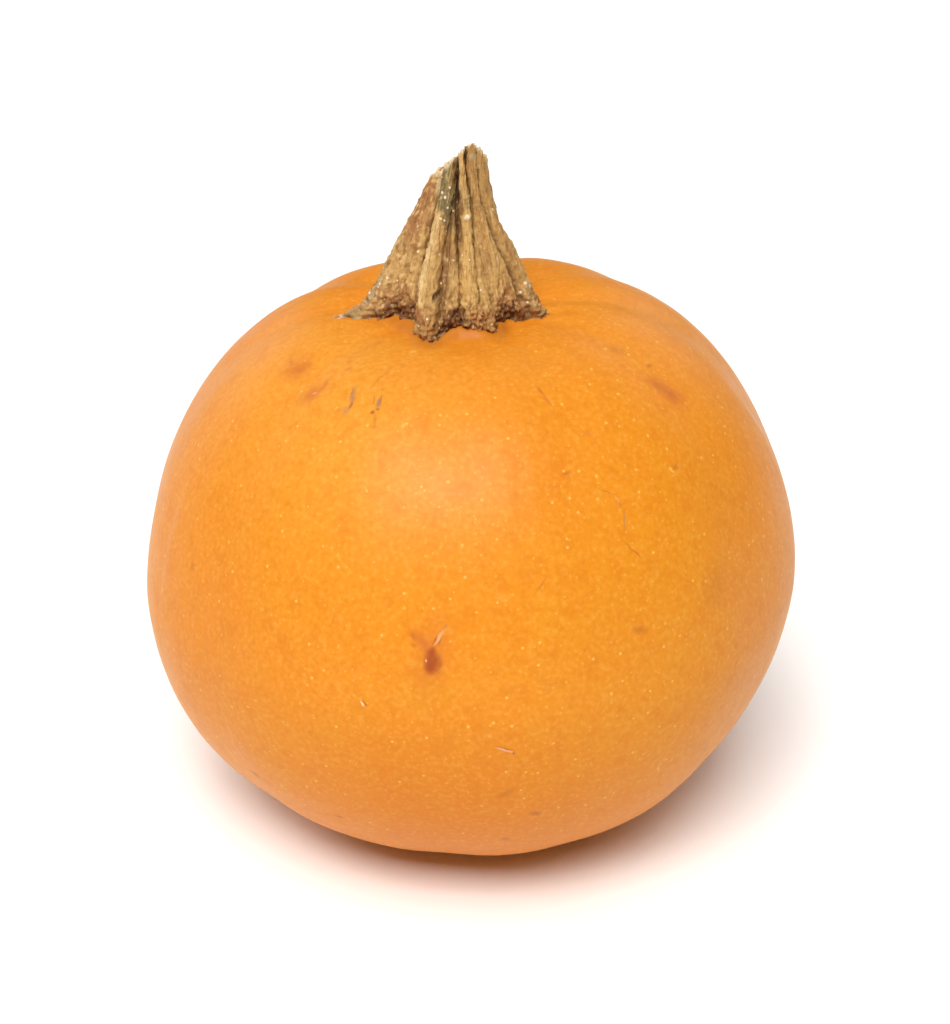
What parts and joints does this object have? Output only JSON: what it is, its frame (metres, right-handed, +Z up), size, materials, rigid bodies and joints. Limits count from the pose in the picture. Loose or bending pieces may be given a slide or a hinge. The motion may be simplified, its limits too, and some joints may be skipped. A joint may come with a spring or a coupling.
{
  "type": "pumpkin",
  "caption": "Small round orange pumpkin with shallow ribs and a dried, ridged, broken stem, standing on the flat of its blossom end.",
  "frame": {"origin": "on the surface that the pumpkin stands on, under the middle of its bounding box", "axes": "+Z up along the pumpkin from blossom end to stem, -Y to the front, which has the brown scar, +X to the right"},
  "size_m": [0.0992, 0.1002, 0.1065],
  "materials": {
    "pumpkin_skin": "semi-gloss waxy skin",
    "dried_stem": "dry, rough and fibrous"
  },
  "bodies": {
    "root": {"fruit": "pumpkin_skin", "stem": "dried_stem"}
  },
  "joints": []
}
